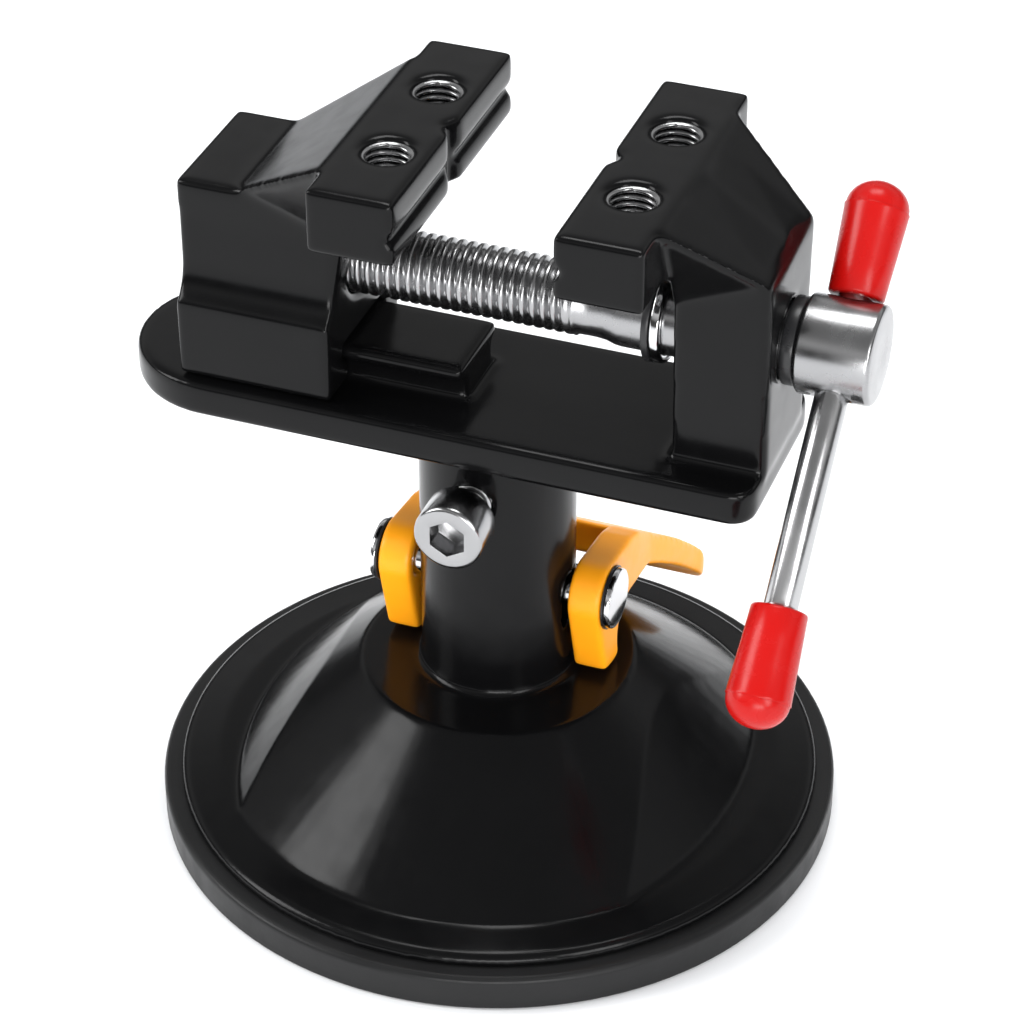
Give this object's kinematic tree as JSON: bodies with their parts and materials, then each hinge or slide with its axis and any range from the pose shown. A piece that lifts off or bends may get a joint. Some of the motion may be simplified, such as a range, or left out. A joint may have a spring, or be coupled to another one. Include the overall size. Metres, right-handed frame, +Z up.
{
  "type": "suction base vise",
  "caption": "Small bench vise on a rubber suction base: cam lever for the suction, swivelling head with a lock screw, and a screw-driven sliding jaw turned by a tommy bar.",
  "frame": {"origin": "centre of the suction base on the surface it stands on", "axes": "+Z up the column; the spindle runs along X with its head at +X; the lock screw faces -Y and the cam lever's handle lies at +Y"},
  "size_m": [0.1077, 0.1, 0.1108],
  "materials": {
    "black_enamel": "gloss black stove enamel on die castings",
    "disc_rubber": "satin moulded",
    "orange_plastic": "satin moulded",
    "red_vinyl": "dipped, glossy",
    "turned_steel": "turned, bright",
    "bright_chrome": "polished",
    "screw_steel": "bright zinc",
    "plated_steel": "zinc plated",
    "spring_steel": "drawn wire",
    "black_steel": "black oxide",
    "brass_pad": "turned"
  },
  "bodies": {
    "base": {"base_housing": "black_enamel", "suction_rim": "disc_rubber", "suction_membrane": "disc_rubber", "return_spring": "spring_steel"},
    "plunger": {"plunger_rod": "plated_steel", "core_plate": "plated_steel", "lever_pin": "bright_chrome", "pin_washers": "black_steel"},
    "lever": {"cam_lever": "orange_plastic"},
    "pad": {"lock_pad": "brass_pad"},
    "lock": {"lock_screw": "screw_steel"},
    "head": {"vise_bed": "black_enamel"},
    "jaw": {"moving_jaw": "black_enamel"},
    "screw": {"spindle": "turned_steel", "circlip": "black_steel", "spindle_collar": "bright_chrome", "thrust_washer": "black_steel"},
    "bar": {"tommy_bar": "bright_chrome", "upper_cap": "red_vinyl", "lower_cap": "red_vinyl"}
  },
  "joints": [
    {"name": "head_swivel", "type": "hinge", "parent": "base", "child": "head", "pos_m": [0, 0, 0.065], "axis": [0, 0, 1], "continuous": true},
    {"name": "spindle_turn", "type": "hinge", "parent": "head", "child": "screw", "pos_m": [0.049, 0, 0.0877], "axis": [-1, 0, 0], "range_deg": [-1920, 5160]},
    {"name": "jaw_slide", "type": "slide", "parent": "head", "child": "jaw", "axis": [1, 0, 0], "range_m": [-0.008, 0.0215]},
    {"name": "bar_slide", "type": "slide", "parent": "screw", "child": "bar", "axis": [0, 0.7071, 0.7071], "range_m": [0, 0.0285]},
    {"name": "lever_turn", "type": "hinge", "parent": "plunger", "child": "lever", "pos_m": [0, 0, 0.0387], "axis": [1, 0, 0], "range_deg": [0, 52]},
    {"name": "plunger_lift", "type": "slide", "parent": "base", "child": "plunger", "axis": [0, 0, -1], "range_m": [0, 0.00364], "deforming": ["return_spring", "suction_membrane"]},
    {"name": "lock_screw_turn", "type": "hinge", "parent": "pad", "child": "lock", "pos_m": [0, -0.014, 0.058], "axis": [0, -1, 0], "range_deg": [0, 540]},
    {"name": "pad_slide", "type": "slide", "parent": "base", "child": "pad", "axis": [0, -1, 0], "range_m": [0, 0.0015]}
  ],
  "couplings": [
    {"joint": "jaw_slide", "follows": "spindle_turn", "m_per_rad": 0.00023873},
    {"joint": "plunger_lift", "follows": "lever_turn", "m_per_rad": 0.004},
    {"joint": "lock_screw_turn", "follows": "pad_slide", "rad_per_m": 6283.2}
  ]
}
